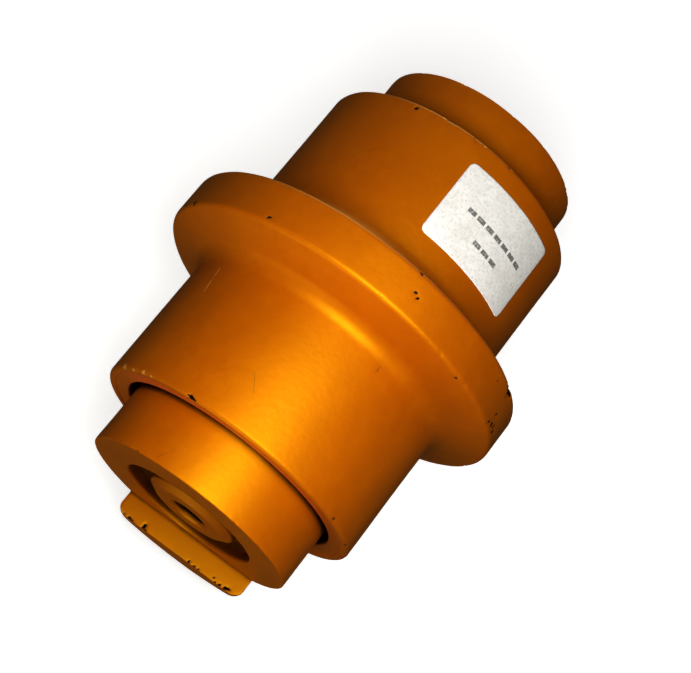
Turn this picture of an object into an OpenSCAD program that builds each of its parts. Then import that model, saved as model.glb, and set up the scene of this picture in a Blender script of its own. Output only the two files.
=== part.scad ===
// Track roller with one centre flange, for the lower run of a compact excavator's track.
// Frame: origin on the roller's axis at the middle of the flange. +Y runs along the axis
// towards the far end, +Z is up as mounted, and the hook tabs lie underneath. Millimetres.

/* [Roller shell] */
// Diameter of the two treads that the track chain runs under
tread_d = 112; // [108:1:118]
// Diameter of the centre flange that keeps the chain in line
flange_d = 151; // [142:1:160]
// Width across the flange's rim before its edges are rounded
rim_w = 17.2; // [14:0.2:20]
// Lean of the flange's side faces away from square
flange_lean = 18; // [12:0.5:24]
// Radius that blends each side face into the tread
flange_fillet = 7; // [5:0.2:9]
// Length of the shell along the axis
shell_l = 143.6; // [142:0.2:147]
// Radius on the outer corner at each end of the shell
tread_corner = 2.4; // [1:0.1:3]

/* [End collars] */
// Outside diameter of the end collars
collar_d = 88; // [86:1:90]
// Distance over the collars' outer faces, which is the gap between the frame plates
over_faces = 189; // [188:1:194]
// Diameter of the recess around the shaft end
recess_d = 56.6; // [50:0.2:58]
// Depth of that recess
recess_depth = 4.5; // [2:0.1:5]
// Height of the hook tab's flat below the axis
tab_drop = 31.9; // [31:0.1:34]
// How far the hook tab stands out of the collar's face
tab_l = 9.2; // [6:0.1:14]

/* [Shaft] */
// Diameter of the shaft
shaft_d = 38; // [37:0.5:39]
// Bore of the tapped hole in each shaft end, the minor diameter of an M16 thread
tapped_d = 14; // [12:0.1:15]
// Depth of that hole
tapped_depth = 34; // [28:1:38]

/* [Label] */
// Length of the label around the tread
label_w = 50; // [30:1:60]
// Length of the label along the axis
label_h = 34.5; // [20:0.5:36]

/* [Hidden] */
$fn = 96;

// How far a cutting or trimming shape runs on past the surface it cuts
over = 1;

tread_r = tread_d / 2;
flange_r = flange_d / 2;
shell_y = shell_l / 2;
collar_r = collar_d / 2;
face_y = over_faces / 2;
shaft_r = shaft_d / 2;
tapped_r = tapped_d / 2;
recess_r = recess_d / 2;

// Flange, where each side face leans in from the rim and blends into the tread
rim_edge = 2.2;
rim_y = rim_w / 2;
side_rise = 90 - flange_lean;
side_run = (flange_r - tread_r) * tan(flange_lean);
fillet_reach = flange_fillet * tan(side_rise / 2);
edge_reach = rim_edge * tan(side_rise / 2);
fillet_y = rim_y + side_run + fillet_reach;

// Bores of the shell, from the middle outwards
oil_space_h = 7;
oil_space_r = shaft_r + oil_space_h;
oil_space_y = 20;
bush_wall = 4;
bush_r = shaft_r + bush_wall;
bush_flange_h = 8.5;
bush_flange_r = shaft_r + bush_flange_h;
bush_flange_y = 48.5;
pocket_floor_y = 52.5;
pocket_r = 39;
shoulder_y = 62;
pocket_bevel = 0.6;
mouth_gap = 2.9;
mouth_r = collar_r + mouth_gap;
mouth_bevel = 0.5;
end_rim_w = 3.4;
end_recess_r = tread_r - end_rim_w;
end_recess_depth = 1;
end_recess_bevel = 0.3;

// Bush, from its inner end to its thrust face
bush_setback = 0.5;
bush_lead = 1;
bush_lead_h = 0.6;
bush_bevel = 0.8;

// Running gaps between the turning and the standing pieces
bush_clearance = 0.05;
end_float = 0.4;
seal_face_gap = 0.3;

// Face seal, with places along the axis counted from the middle of the flange
seal_face_y = 62.5;
seal_ring_l = 8.5;
seal_bore_r = 28;
seal_seat_r = 32.4;
seal_rim_r = 37;
seal_rim_l = 3;
seal_bevel = 0.8;
seal_rim_bevel = 0.5;
seal_neck_w = 1;
seal_neck_l = 0.6;
seal_band_w = 1.5;
seal_band_l = 1;
toric_r = 3.2;
toric_centre_r = (seal_seat_r + pocket_r) / 2;
toric_y = 56;

// Inside of the collar
hub_r = 26.6;
hub_end_y = pocket_floor_y + end_float;
skirt_gap = 0.9;
skirt_end_y = shoulder_y + skirt_gap;
collar_pocket_y = 72.8;

// Chamfers on the collar's outer edges; the one at the face stops this far above the hook tab
collar_edge = 0.8;
chamfer_stop = 1;

// Static ring seal between collar and shaft
o_ring_y = 75.8;
o_ring_w = 3.2;
o_ring_groove_depth = 2.6;
o_ring_groove_r = shaft_r + o_ring_groove_depth;
o_ring_section_r = 1.28;

// Cross pin that locks each collar to the shaft
pin_r = 5;
pin_l = 72;
pin_y = 83.6;
pin_chamfer = 1;

// Shaft ends and the oil way
shaft_chamfer_r = 3.8;
shaft_chamfer_l = 1.9;
countersink = 1.5;
drill_point = 118;
plug_r = 5;
plug_l = 8;
plug_socket_af = 5;
plug_socket_l = 4;
oil_way_r = 3;
tapped_end_y = face_y - tapped_depth;
plug_seat_y = tapped_end_y - plug_l;

// Hook tab, whose outline starts a little way inside the collar
tab_half_w = sqrt(collar_r * collar_r - tab_drop * tab_drop);
tab_corner = 5;
tab_root = 0.5;

// Label on the far tread
label_t = 0.2;
label_y = 45.8;
label_turn = 37.4;
label_chord = 2 * tread_r * sin(label_w / 2 / tread_r * 180 / PI);
label_corner = 2.5;

shell_paint = "#E08A08";
collar_paint = "#DE8A0A";
steel = "#8C8F92";
bright_steel = "#B4B6B8";
bronze = "#B08A4A";
rubber = "#232323";
label_white = "#E6E0D6";

// Points on an arc, for outlines that are turned or extruded
function arc(x, y, r, from, to, steps) =
    [for (i = [0 : steps]) [x + r * cos(from + (to - from) * i / steps),
                            y + r * sin(from + (to - from) * i / steps)]];

// Same outline seen from the other end of the axis, in reverse order
function other_end(points) = [for (i = [len(points) - 1 : -1 : 0]) [points[i][0], -points[i][1]]];

// Turns an outline of [radius, distance along the axis] about the Y axis
module turned(points) {
    rotate([-90, 0, 0])
        rotate_extrude()
            polygon(points);
}

// Plain solid cylinder on the Y axis between two distances
module rod(r, from_y, to_y) {
    translate([0, from_y, 0])
        rotate([-90, 0, 0])
            cylinder(r = r, h = to_y - from_y);
}

// The far end is drawn; the near end is its mirror image
module at(end) {
    if (end == "near")
        mirror([0, 1, 0])
            children();
    else
        children();
}

// Outer outline of the shell from the middle of the rim to one end
shell_outside = concat(
    arc(flange_r - rim_edge, rim_y - edge_reach, rim_edge, 0, side_rise, 5),
    arc(tread_r + flange_fillet, fillet_y, flange_fillet, 180 + side_rise, 180, 10),
    arc(tread_r - tread_corner, shell_y - tread_corner, tread_corner, 0, 90, 6)
);

// Bores of the shell from one end to the middle
shell_inside = [
    [end_recess_r + end_recess_bevel, shell_y],
    [end_recess_r, shell_y - end_recess_bevel],
    [end_recess_r, shell_y - end_recess_depth],
    [mouth_r + mouth_bevel, shell_y - end_recess_depth],
    [mouth_r, shell_y - end_recess_depth - mouth_bevel],
    [mouth_r, shoulder_y],
    [pocket_r + pocket_bevel, shoulder_y],
    [pocket_r, shoulder_y - pocket_bevel],
    [pocket_r, pocket_floor_y],
    [bush_flange_r, pocket_floor_y],
    [bush_flange_r, bush_flange_y],
    [bush_r, bush_flange_y],
    [bush_r, oil_space_y],
    [oil_space_r, oil_space_y]
];

module roller_shell() {
    half = concat(shell_outside, shell_inside);
    color(shell_paint)
        turned(concat(half, other_end(half)));
}

// Flanged bush pressed into the shell: it carries the load and takes the side thrust
module bushing() {
    bore_r = shaft_r + bush_clearance;
    inner_end_y = oil_space_y + bush_setback;
    color(bronze)
        turned([
            [bore_r, inner_end_y + bush_lead],
            [bore_r + bush_lead, inner_end_y],
            [bush_r - bush_lead_h, inner_end_y],
            [bush_r, inner_end_y + bush_lead],
            [bush_r, bush_flange_y],
            [bush_flange_r, bush_flange_y],
            [bush_flange_r, pocket_floor_y],
            [bore_r + bush_bevel, pocket_floor_y],
            [bore_r, pocket_floor_y - bush_bevel]
        ]);
}

module bushing_near() { at("near") bushing(); }
module bushing_far() { at("far") bushing(); }

// Tapped blind hole on the axis, opening out of the far end
module tapped_hole() {
    rod(tapped_r, tapped_end_y, face_y + over);
    turned([
        [0, face_y - countersink],
        [tapped_r, face_y - countersink],
        [tapped_r + countersink + over, face_y + over],
        [0, face_y + over]
    ]);
}

module shaft() {
    color(steel)
        difference() {
            turned([
                [0, -face_y],
                [shaft_r - shaft_chamfer_r, -face_y],
                [shaft_r, -face_y + shaft_chamfer_l],
                [shaft_r, face_y - shaft_chamfer_l],
                [shaft_r - shaft_chamfer_r, face_y],
                [0, face_y]
            ]);
            at("far") tapped_hole();
            at("near") tapped_hole();
            // conical end left by the drill in the blind near hole
            at("near") turned([
                [0, tapped_end_y - tapped_r / tan(drill_point / 2)],
                [tapped_r, tapped_end_y],
                [tapped_r, tapped_end_y + over],
                [0, tapped_end_y + over]
            ]);
            // oil way from the filler at the far end to the space between the bushes
            rod(plug_r, plug_seat_y, tapped_end_y + over);
            rod(oil_way_r, 0, plug_seat_y + over);
            cylinder(r = oil_way_r, h = 2 * (shaft_r + over), center = true);
            at("far") pin_hole();
            at("near") pin_hole();
        }
}

// Cross hole that cuts half into the shaft and half into the collar
module pin_hole() {
    translate([0, pin_y, -shaft_r])
        rotate([0, 90, 0])
            cylinder(r = pin_r, h = 2 * (collar_r + over), center = true);
}

module collar_pin() {
    color(bright_steel)
        translate([-pin_l / 2, pin_y, -shaft_r])
            rotate([0, 90, 0])
                rotate_extrude()
                    polygon([
                        [0, 0],
                        [pin_r - pin_chamfer, 0],
                        [pin_r, pin_chamfer],
                        [pin_r, pin_l - pin_chamfer],
                        [pin_r - pin_chamfer, pin_l],
                        [0, pin_l]
                    ]);
}

module collar_pin_near() { at("near") collar_pin(); }
module collar_pin_far() { at("far") collar_pin(); }

// Outline of the tab seen from above, with its two outer corners rounded
tab_outline = concat(
    [[-tab_half_w, face_y - tab_root]],
    arc(-tab_half_w + tab_corner, face_y + tab_l - tab_corner, tab_corner, 180, 90, 6),
    arc(tab_half_w - tab_corner, face_y + tab_l - tab_corner, tab_corner, 90, 0, 6),
    [[tab_half_w, face_y - tab_root]]
);

// Collar with the standing half of the seal pocket inside and the hook tab outside
module collar() {
    color(collar_paint)
        difference() {
            union() {
                turned([
                    [shaft_r, hub_end_y],
                    [hub_r, hub_end_y],
                    [hub_r, collar_pocket_y],
                    [pocket_r, collar_pocket_y],
                    [pocket_r, skirt_end_y],
                    [collar_r - collar_edge, skirt_end_y],
                    [collar_r, skirt_end_y + collar_edge],
                    [collar_r, face_y],
                    [recess_r, face_y],
                    [recess_r, face_y - recess_depth],
                    [shaft_r, face_y - recess_depth],
                    [shaft_r, o_ring_y + o_ring_w / 2],
                    [o_ring_groove_r, o_ring_y + o_ring_w / 2],
                    [o_ring_groove_r, o_ring_y - o_ring_w / 2],
                    [shaft_r, o_ring_y - o_ring_w / 2]
                ]);
                hook_tab();
            }
            face_chamfer();
            pin_hole();
        }
}

// Chamfer on the edge of the collar's face, which stops just above the tab
module face_chamfer() {
    intersection() {
        turned([
            [collar_r - collar_edge - over, face_y + over],
            [collar_r + over, face_y - collar_edge - over],
            [collar_r + over, face_y + over]
        ]);
        translate([-collar_r - over, face_y - collar_edge - over, chamfer_stop - tab_drop])
            cube([2 * (collar_r + over), collar_edge + 2 * over, collar_r + tab_drop]);
    }
}

// Segment of the collar's own round, carried on past its face below the frame plate
module hook_tab() {
    intersection() {
        rod(collar_r, face_y - over, face_y + tab_l + over);
        translate([0, 0, -collar_r - over])
            linear_extrude(height = collar_r + over - tab_drop)
                polygon(tab_outline);
    }
}

module collar_near() { at("near") collar(); }
module collar_far() { at("far") collar(); }

// One metal ring of the face seal, as it turns with the shell
module seal_ring() {
    back_y = seal_face_y - seal_ring_l;
    rim_start_y = seal_face_y - seal_rim_l;
    color(bright_steel)
        turned([
            [seal_bore_r, back_y],
            [seal_seat_r - seal_bevel, back_y],
            [seal_seat_r, back_y + seal_bevel],
            [seal_seat_r, rim_start_y - seal_neck_l],
            [seal_seat_r + seal_neck_w, rim_start_y],
            [seal_rim_r, rim_start_y],
            [seal_rim_r, seal_face_y - seal_rim_bevel],
            [seal_rim_r - seal_rim_bevel, seal_face_y],
            [seal_bore_r + seal_band_w, seal_face_y],
            [seal_bore_r, seal_face_y - seal_band_l]
        ]);
}

// Rubber ring that loads the metal ring and seals it in its pocket
module toric_ring() {
    color(rubber)
        translate([0, toric_y, 0])
            rotate([-90, 0, 0])
                rotate_extrude()
                    translate([toric_centre_r, 0])
                        circle(r = toric_r, $fn = 48);
}

// The standing half of the seal mirrors the turning half about the gap between their faces
module standing_half() {
    translate([0, 2 * seal_face_y + seal_face_gap, 0])
        mirror([0, 1, 0])
            children();
}

module turning_seal_ring_near() { at("near") seal_ring(); }
module turning_seal_ring_far() { at("far") seal_ring(); }
module fixed_seal_ring_near() { at("near") standing_half() seal_ring(); }
module fixed_seal_ring_far() { at("far") standing_half() seal_ring(); }
module turning_toric_ring_near() { at("near") toric_ring(); }
module turning_toric_ring_far() { at("far") toric_ring(); }
module fixed_toric_ring_near() { at("near") standing_half() toric_ring(); }
module fixed_toric_ring_far() { at("far") standing_half() toric_ring(); }

// Ring in the collar's bore that keeps the oil from creeping out along the shaft
module shaft_o_ring() {
    color(rubber)
        translate([0, o_ring_y, 0])
            rotate([-90, 0, 0])
                rotate_extrude()
                    translate([(shaft_r + o_ring_groove_r) / 2, 0])
                        circle(r = o_ring_section_r, $fn = 32);
}

module shaft_o_ring_near() { at("near") shaft_o_ring(); }
module shaft_o_ring_far() { at("far") shaft_o_ring(); }

// Screwed plug at the bottom of the far hole, with a hexagon socket
module oil_filler_plug() {
    socket_r = plug_socket_af / 2 / cos(30);
    color(steel)
        difference() {
            rod(plug_r, plug_seat_y, tapped_end_y);
            translate([0, tapped_end_y - plug_socket_l, 0])
                rotate([-90, 0, 0])
                    cylinder(r = socket_r, h = plug_socket_l + over, $fn = 6);
        }
}

// Blank label wrapped on the far tread
module label() {
    half_w = label_chord / 2;
    half_h = label_h / 2;
    inner_w = half_w - label_corner;
    inner_h = half_h - label_corner;
    color(label_white)
        rotate([0, label_turn, 0])
            intersection() {
                difference() {
                    rod(tread_r + label_t, label_y - half_h - over, label_y + half_h + over);
                    rod(tread_r, label_y - half_h - 2 * over, label_y + half_h + 2 * over);
                }
                translate([0, label_y, tread_r / 2])
                    linear_extrude(height = tread_r)
                        polygon(concat(
                            arc(inner_w, inner_h, label_corner, 0, 90, 5),
                            arc(-inner_w, inner_h, label_corner, 90, 180, 5),
                            arc(-inner_w, -inner_h, label_corner, 180, 270, 5),
                            arc(inner_w, -inner_h, label_corner, 270, 360, 5)
                        ));
            }
}

roller_shell();
bushing_near();
bushing_far();
shaft();
collar_near();
collar_far();
collar_pin_near();
collar_pin_far();
turning_seal_ring_near();
turning_seal_ring_far();
fixed_seal_ring_near();
fixed_seal_ring_far();
turning_toric_ring_near();
turning_toric_ring_far();
fixed_toric_ring_near();
fixed_toric_ring_far();
shaft_o_ring_near();
shaft_o_ring_far();
oil_filler_plug();
label();
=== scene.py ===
import math

import bmesh
import bpy
import numpy as np
from mathutils import Matrix, Vector
from mathutils.kdtree import KDTree


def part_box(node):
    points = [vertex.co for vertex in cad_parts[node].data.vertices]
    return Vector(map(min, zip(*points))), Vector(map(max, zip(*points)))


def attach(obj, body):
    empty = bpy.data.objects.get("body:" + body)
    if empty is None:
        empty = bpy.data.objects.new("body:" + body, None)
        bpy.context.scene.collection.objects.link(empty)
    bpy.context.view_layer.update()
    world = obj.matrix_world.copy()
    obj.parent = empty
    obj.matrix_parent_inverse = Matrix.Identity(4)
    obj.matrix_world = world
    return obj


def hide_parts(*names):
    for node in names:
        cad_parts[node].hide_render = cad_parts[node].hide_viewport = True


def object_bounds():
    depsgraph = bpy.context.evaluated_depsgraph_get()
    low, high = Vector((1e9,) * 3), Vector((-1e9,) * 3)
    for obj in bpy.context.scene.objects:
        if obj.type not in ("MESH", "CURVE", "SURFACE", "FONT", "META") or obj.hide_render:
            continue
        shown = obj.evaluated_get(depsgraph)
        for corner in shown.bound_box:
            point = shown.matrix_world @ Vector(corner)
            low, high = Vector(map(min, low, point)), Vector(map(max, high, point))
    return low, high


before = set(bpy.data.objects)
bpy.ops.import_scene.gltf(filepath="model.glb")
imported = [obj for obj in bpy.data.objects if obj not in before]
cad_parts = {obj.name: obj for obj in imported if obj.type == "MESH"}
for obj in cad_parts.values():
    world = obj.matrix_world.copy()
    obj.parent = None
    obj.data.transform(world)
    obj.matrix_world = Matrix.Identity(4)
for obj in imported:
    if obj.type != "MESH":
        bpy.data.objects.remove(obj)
cad_lo, cad_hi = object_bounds()

MM = 0.001
rng = np.random.default_rng(7)

# ------------------------------------------------------------------ sizes in mm, the CAD boxes' first
_, shell_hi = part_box("roller_shell")
_, collar_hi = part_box("collar_far")
label_lo, label_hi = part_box("label")
_, shaft_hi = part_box("shaft")
FLANGE_R = shell_hi.x / MM
SHELL_Y = shell_hi.y / MM
COLLAR_R = collar_hi.x / MM
TAB_Y = collar_hi.y / MM
FACE_Y = shaft_hi.y / MM
SHAFT_R = shaft_hi.x / MM
LABEL_Y = round((label_lo.y + label_hi.y) / 2 / MM, 2)
LABEL_H = round((label_hi.y - label_lo.y) / MM, 2)
LABEL_W, LABEL_CORNER, LABEL_T = 50.0, 2.5, 0.2
LABEL_TURN = math.radians(37.4)

# the shell outside: the treads, the flange's leaning sides, and the rounding of each edge
TREAD_R = 56.0
LEAN = math.radians(18.0)
RIM_Y, RIM_EDGE = 8.6, 2.2
FILLET = 7.0
TREAD_EDGE = 2.4
CONE_Y = RIM_Y + (FLANGE_R - TREAD_R) * math.tan(LEAN)
# the shell inside, from its end face inward: radii, and where along the axis each one ends
LIP_R, LIP_DEPTH = 52.6, 0.8
MOUTH_R, MOUTH_Y = 46.9, 62.0
SEAL_R, SEAL_Y = 39.0, 52.5
BUSH_RIM_R, BUSH_RIM_Y = 27.5, 48.5
BUSH_R, OIL_Y = 23.0, 20.0
OIL_R = 26.0
# the collar: its sleeve round the shaft, the seal pocket, the skirt, the tab and the recess in its face
SLEEVE_R, SLEEVE_Y = 26.6, 52.9
POCKET_R, POCKET_Y = 39.0, 72.8
SKIRT_FLAT_R, SKIRT_Y, SKIRT_EDGE = 41.0, 62.9, 0.8
SKIRT_RUN = 4.0
TAB_DROP = 31.9
RECESS_R, RECESS_DEPTH = 28.3, 4.5
TAB_CORNER = 5.0
TAB_ANGLE = math.acos(TAB_DROP / COLLAR_R)
TAB_HALF_W = COLLAR_R * math.sin(TAB_ANGLE)
PIN_R, PIN_Y, PIN_SIDES = 5.0, 83.6, 56
# the shaft's end: chamfer, tapped hole and screw thread
CHAMFER_IN, CHAMFER_DEEP, CHAMFER_EDGE = 3.8, 1.9, 0.8
HOLE_DEPTH, HOLE_TIP_R = 34.0, 3.5
SINK_R, SINK_DEPTH = 8.5, 1.5
THREAD_PITCH, THREAD_MINOR, THREAD_MAJOR, THREAD_END = 2.0, 7.0, 7.95, 31.0
THREAD_STEPS = 10  # rings of points per turn of the thread
PLAIN_FROM = 6.0   # beyond this depth the shaft's outside is plain

ARC_STEP, ARC_TURN = 0.55, 12  # points on a rounding are at most so many mm and so many degrees apart


# ------------------------------------------------------------------ mesh helpers
def smooth01(x):
    """0 below 0, 1 above 1, and a smooth step between."""
    x = np.clip(x, 0.0, 1.0)
    return x * x * (3 - 2 * x)


def waves(points, seed, size, count=14):
    """Slow unevenness from -1 to 1: a sum of seeded plane waves of about that size in mm."""
    r = np.random.default_rng(seed)
    out = np.zeros(len(points))
    for _ in range(count):
        k = r.normal(size=3)
        k *= (2 * math.pi / size) * r.uniform(0.6, 1.5) / np.linalg.norm(k)
        out += np.sin(points @ k + r.uniform(0, 2 * math.pi))
    return out / math.sqrt(count)


def rounded(corners, step=1.2, closed=True):
    """Outline through (radius, y, rounding) corners, rounded by arcs, with points at most step apart."""
    pts = []
    n = len(corners)
    for i in range(n):
        p = np.array(corners[i][:2], float)
        rad = corners[i][2]
        if not closed and i in (0, n - 1):
            pts.append([p])
            continue
        a = np.array(corners[i - 1][:2], float) - p
        b = np.array(corners[(i + 1) % n][:2], float) - p
        la, lb = np.linalg.norm(a), np.linalg.norm(b)
        a, b = a / la, b / lb
        ang = math.acos(float(np.clip(a @ b, -1, 1)))
        if rad <= 0 or abs(ang - math.pi) < 1e-3:
            pts.append([p])
            continue
        t = min(rad / math.tan(ang / 2), 0.49 * la, 0.49 * lb)
        rr = t * math.tan(ang / 2)
        mid = (a + b) / np.linalg.norm(a + b)
        c = p + mid * (rr / math.sin(ang / 2))
        v0 = (p + a * t) - c
        v1 = (p + b * t) - c
        steps = max(3, int(math.ceil((math.pi - ang) * rr / ARC_STEP)))
        steps = max(steps, int(math.ceil(math.degrees(math.pi - ang) / ARC_TURN)))
        full = math.atan2(v0[0] * v1[1] - v0[1] * v1[0], v0 @ v1)
        arc = []
        for k in range(steps + 1):
            s = full * k / steps
            arc.append(c + np.array([v0[0] * math.cos(s) - v0[1] * math.sin(s),
                                     v0[0] * math.sin(s) + v0[1] * math.cos(s)]))
        pts.append(arc)
    out = []
    groups = len(pts)
    for i, g in enumerate(pts):
        out.extend(g)
        if not closed and i == groups - 1:
            break
        a, b = g[-1], pts[(i + 1) % groups][0]
        gap = np.linalg.norm(b - a)
        m = int(math.ceil(gap / step))
        for k in range(1, m):
            out.append(a + (b - a) * k / m)
    return np.array(out)


def make_mesh(name, verts_mm, faces):
    """Mesh from points in mm and faces that all have the same number of corners."""
    mesh = bpy.data.meshes.new(name)
    mesh.vertices.add(len(verts_mm))
    mesh.vertices.foreach_set("co", (np.asarray(verts_mm) * MM).astype(np.float32).ravel())
    faces = np.asarray(faces, np.int32)
    mesh.loops.add(faces.size)
    mesh.loops.foreach_set("vertex_index", faces.ravel())
    mesh.polygons.add(len(faces))
    width = faces.shape[1]
    mesh.polygons.foreach_set("loop_start", np.arange(0, faces.size, width, dtype=np.int32))
    mesh.update(calc_edges=True)
    mesh.validate()
    return mesh


def add_object(name, mesh):
    obj = bpy.data.objects.new(name, mesh)
    bpy.context.scene.collection.objects.link(obj)
    mesh.polygons.foreach_set("use_smooth", np.ones(len(mesh.polygons), bool))
    return obj


def grid_faces(rows, cols, close_rows=False, close_cols=True):
    """Quads between the points row * cols + col of a grid."""
    r = np.arange(rows if close_rows else rows - 1)
    c = np.arange(cols if close_cols else cols - 1)
    rr, cc = np.meshgrid(r, c, indexing="ij")
    r2, c2 = (rr + 1) % rows, (cc + 1) % cols
    return np.stack([rr * cols + cc, rr * cols + c2, r2 * cols + c2, r2 * cols + cc], -1).reshape(-1, 4)


def weld(mesh, dist=2e-6):
    """Joins points closer than dist, in metres, and turns the faces outward."""
    bm = bmesh.new()
    bm.from_mesh(mesh)
    bmesh.ops.remove_doubles(bm, verts=bm.verts, dist=dist)
    bmesh.ops.dissolve_degenerate(bm, dist=dist * 0.5, edges=bm.edges)
    bmesh.ops.recalc_face_normals(bm, faces=bm.faces)
    bm.to_mesh(mesh)
    bm.free()
    mesh.update()


def face_outward(mesh):
    bm = bmesh.new()
    bm.from_mesh(mesh)
    bmesh.ops.recalc_face_normals(bm, faces=bm.faces)
    bm.to_mesh(mesh)
    bm.free()


def coords(mesh):
    co = np.zeros(len(mesh.vertices) * 3, np.float32)
    mesh.vertices.foreach_get("co", co)
    return co.reshape(-1, 3).astype(float) / MM


def set_coords(mesh, co):
    mesh.vertices.foreach_set("co", (co * MM).astype(np.float32).ravel())
    mesh.update()


def vertex_normals(mesh):
    out = np.zeros(len(mesh.vertices) * 3, np.float32)
    mesh.vertex_normals.foreach_get("vector", out)
    return out.reshape(-1, 3).astype(float)


def attribute(mesh, name, values):
    a = mesh.attributes.get(name) or mesh.attributes.new(name, "FLOAT", "POINT")
    a.data.foreach_set("value", np.asarray(values, np.float32))


def soften_edges(mesh, reach=1.3, rounds=6, limit=25):
    """Rounds the sharp edges of a dense mesh, as thick paint does, by easing the points near them."""
    bm = bmesh.new()
    bm.from_mesh(mesh)
    sharp = set()
    for e in bm.edges:
        if len(e.link_faces) == 2 and math.degrees(e.calc_face_angle(0)) > limit:
            sharp.update(v.index for v in e.verts)
    edges = np.array([[e.verts[0].index, e.verts[1].index] for e in bm.edges])
    bm.free()
    co = coords(mesh)
    if not sharp:
        return
    tree = KDTree(len(sharp))
    for i in sharp:
        tree.insert(co[i], i)
    tree.balance()
    dist = np.array([tree.find(p)[2] for p in co])
    weight = smooth01(1 - dist / reach)[:, None] * 0.5
    count = np.zeros(len(co))
    np.add.at(count, edges[:, 0], 1)
    np.add.at(count, edges[:, 1], 1)
    for _ in range(rounds):
        total = np.zeros_like(co)
        np.add.at(total, edges[:, 0], co[edges[:, 1]])
        np.add.at(total, edges[:, 1], co[edges[:, 0]])
        co = co + (total / count[:, None] - co) * weight
    set_coords(mesh, co)


def turned(profile, cols):
    """Points and faces of a closed (radius, y) outline turned about Y. Angle 0 is +Z, +90 is +X."""
    t = np.arange(cols) * 2 * math.pi / cols
    r, y = profile[:, 0][:, None], profile[:, 1][:, None]
    pts = np.stack([r * np.sin(t), np.broadcast_to(y, (len(profile), cols)), r * np.cos(t)], -1)
    return pts.reshape(-1, 3), grid_faces(len(profile), cols, close_rows=True)


def dent(mesh, spots, seed):
    """Chips and dents: each spot is (x, y, z, size mm, depth mm, how bare). How bare goes in an attribute."""
    co, nor = coords(mesh), vertex_normals(mesh)
    mask = np.zeros(len(co))
    rag = waves(co, seed, 2.2, 24)
    for x, y, z, size, depth, bare in spots:
        d = np.linalg.norm(co - np.array([x, y, z]), axis=1)
        near = d < size * 2.2
        f = smooth01(1.35 - d[near] / size * (1 + 0.35 * rag[near]))
        co[near] -= nor[near] * (depth * f)[:, None]
        mask[near] = np.maximum(mask[near], f * bare)
    set_coords(mesh, co)
    attribute(mesh, "bare", mask)


def on_round(radius, degrees, y):
    """The point at that radius, angle and distance along the axis."""
    a = math.radians(degrees)
    return radius * math.sin(a), y, radius * math.cos(a)


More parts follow.
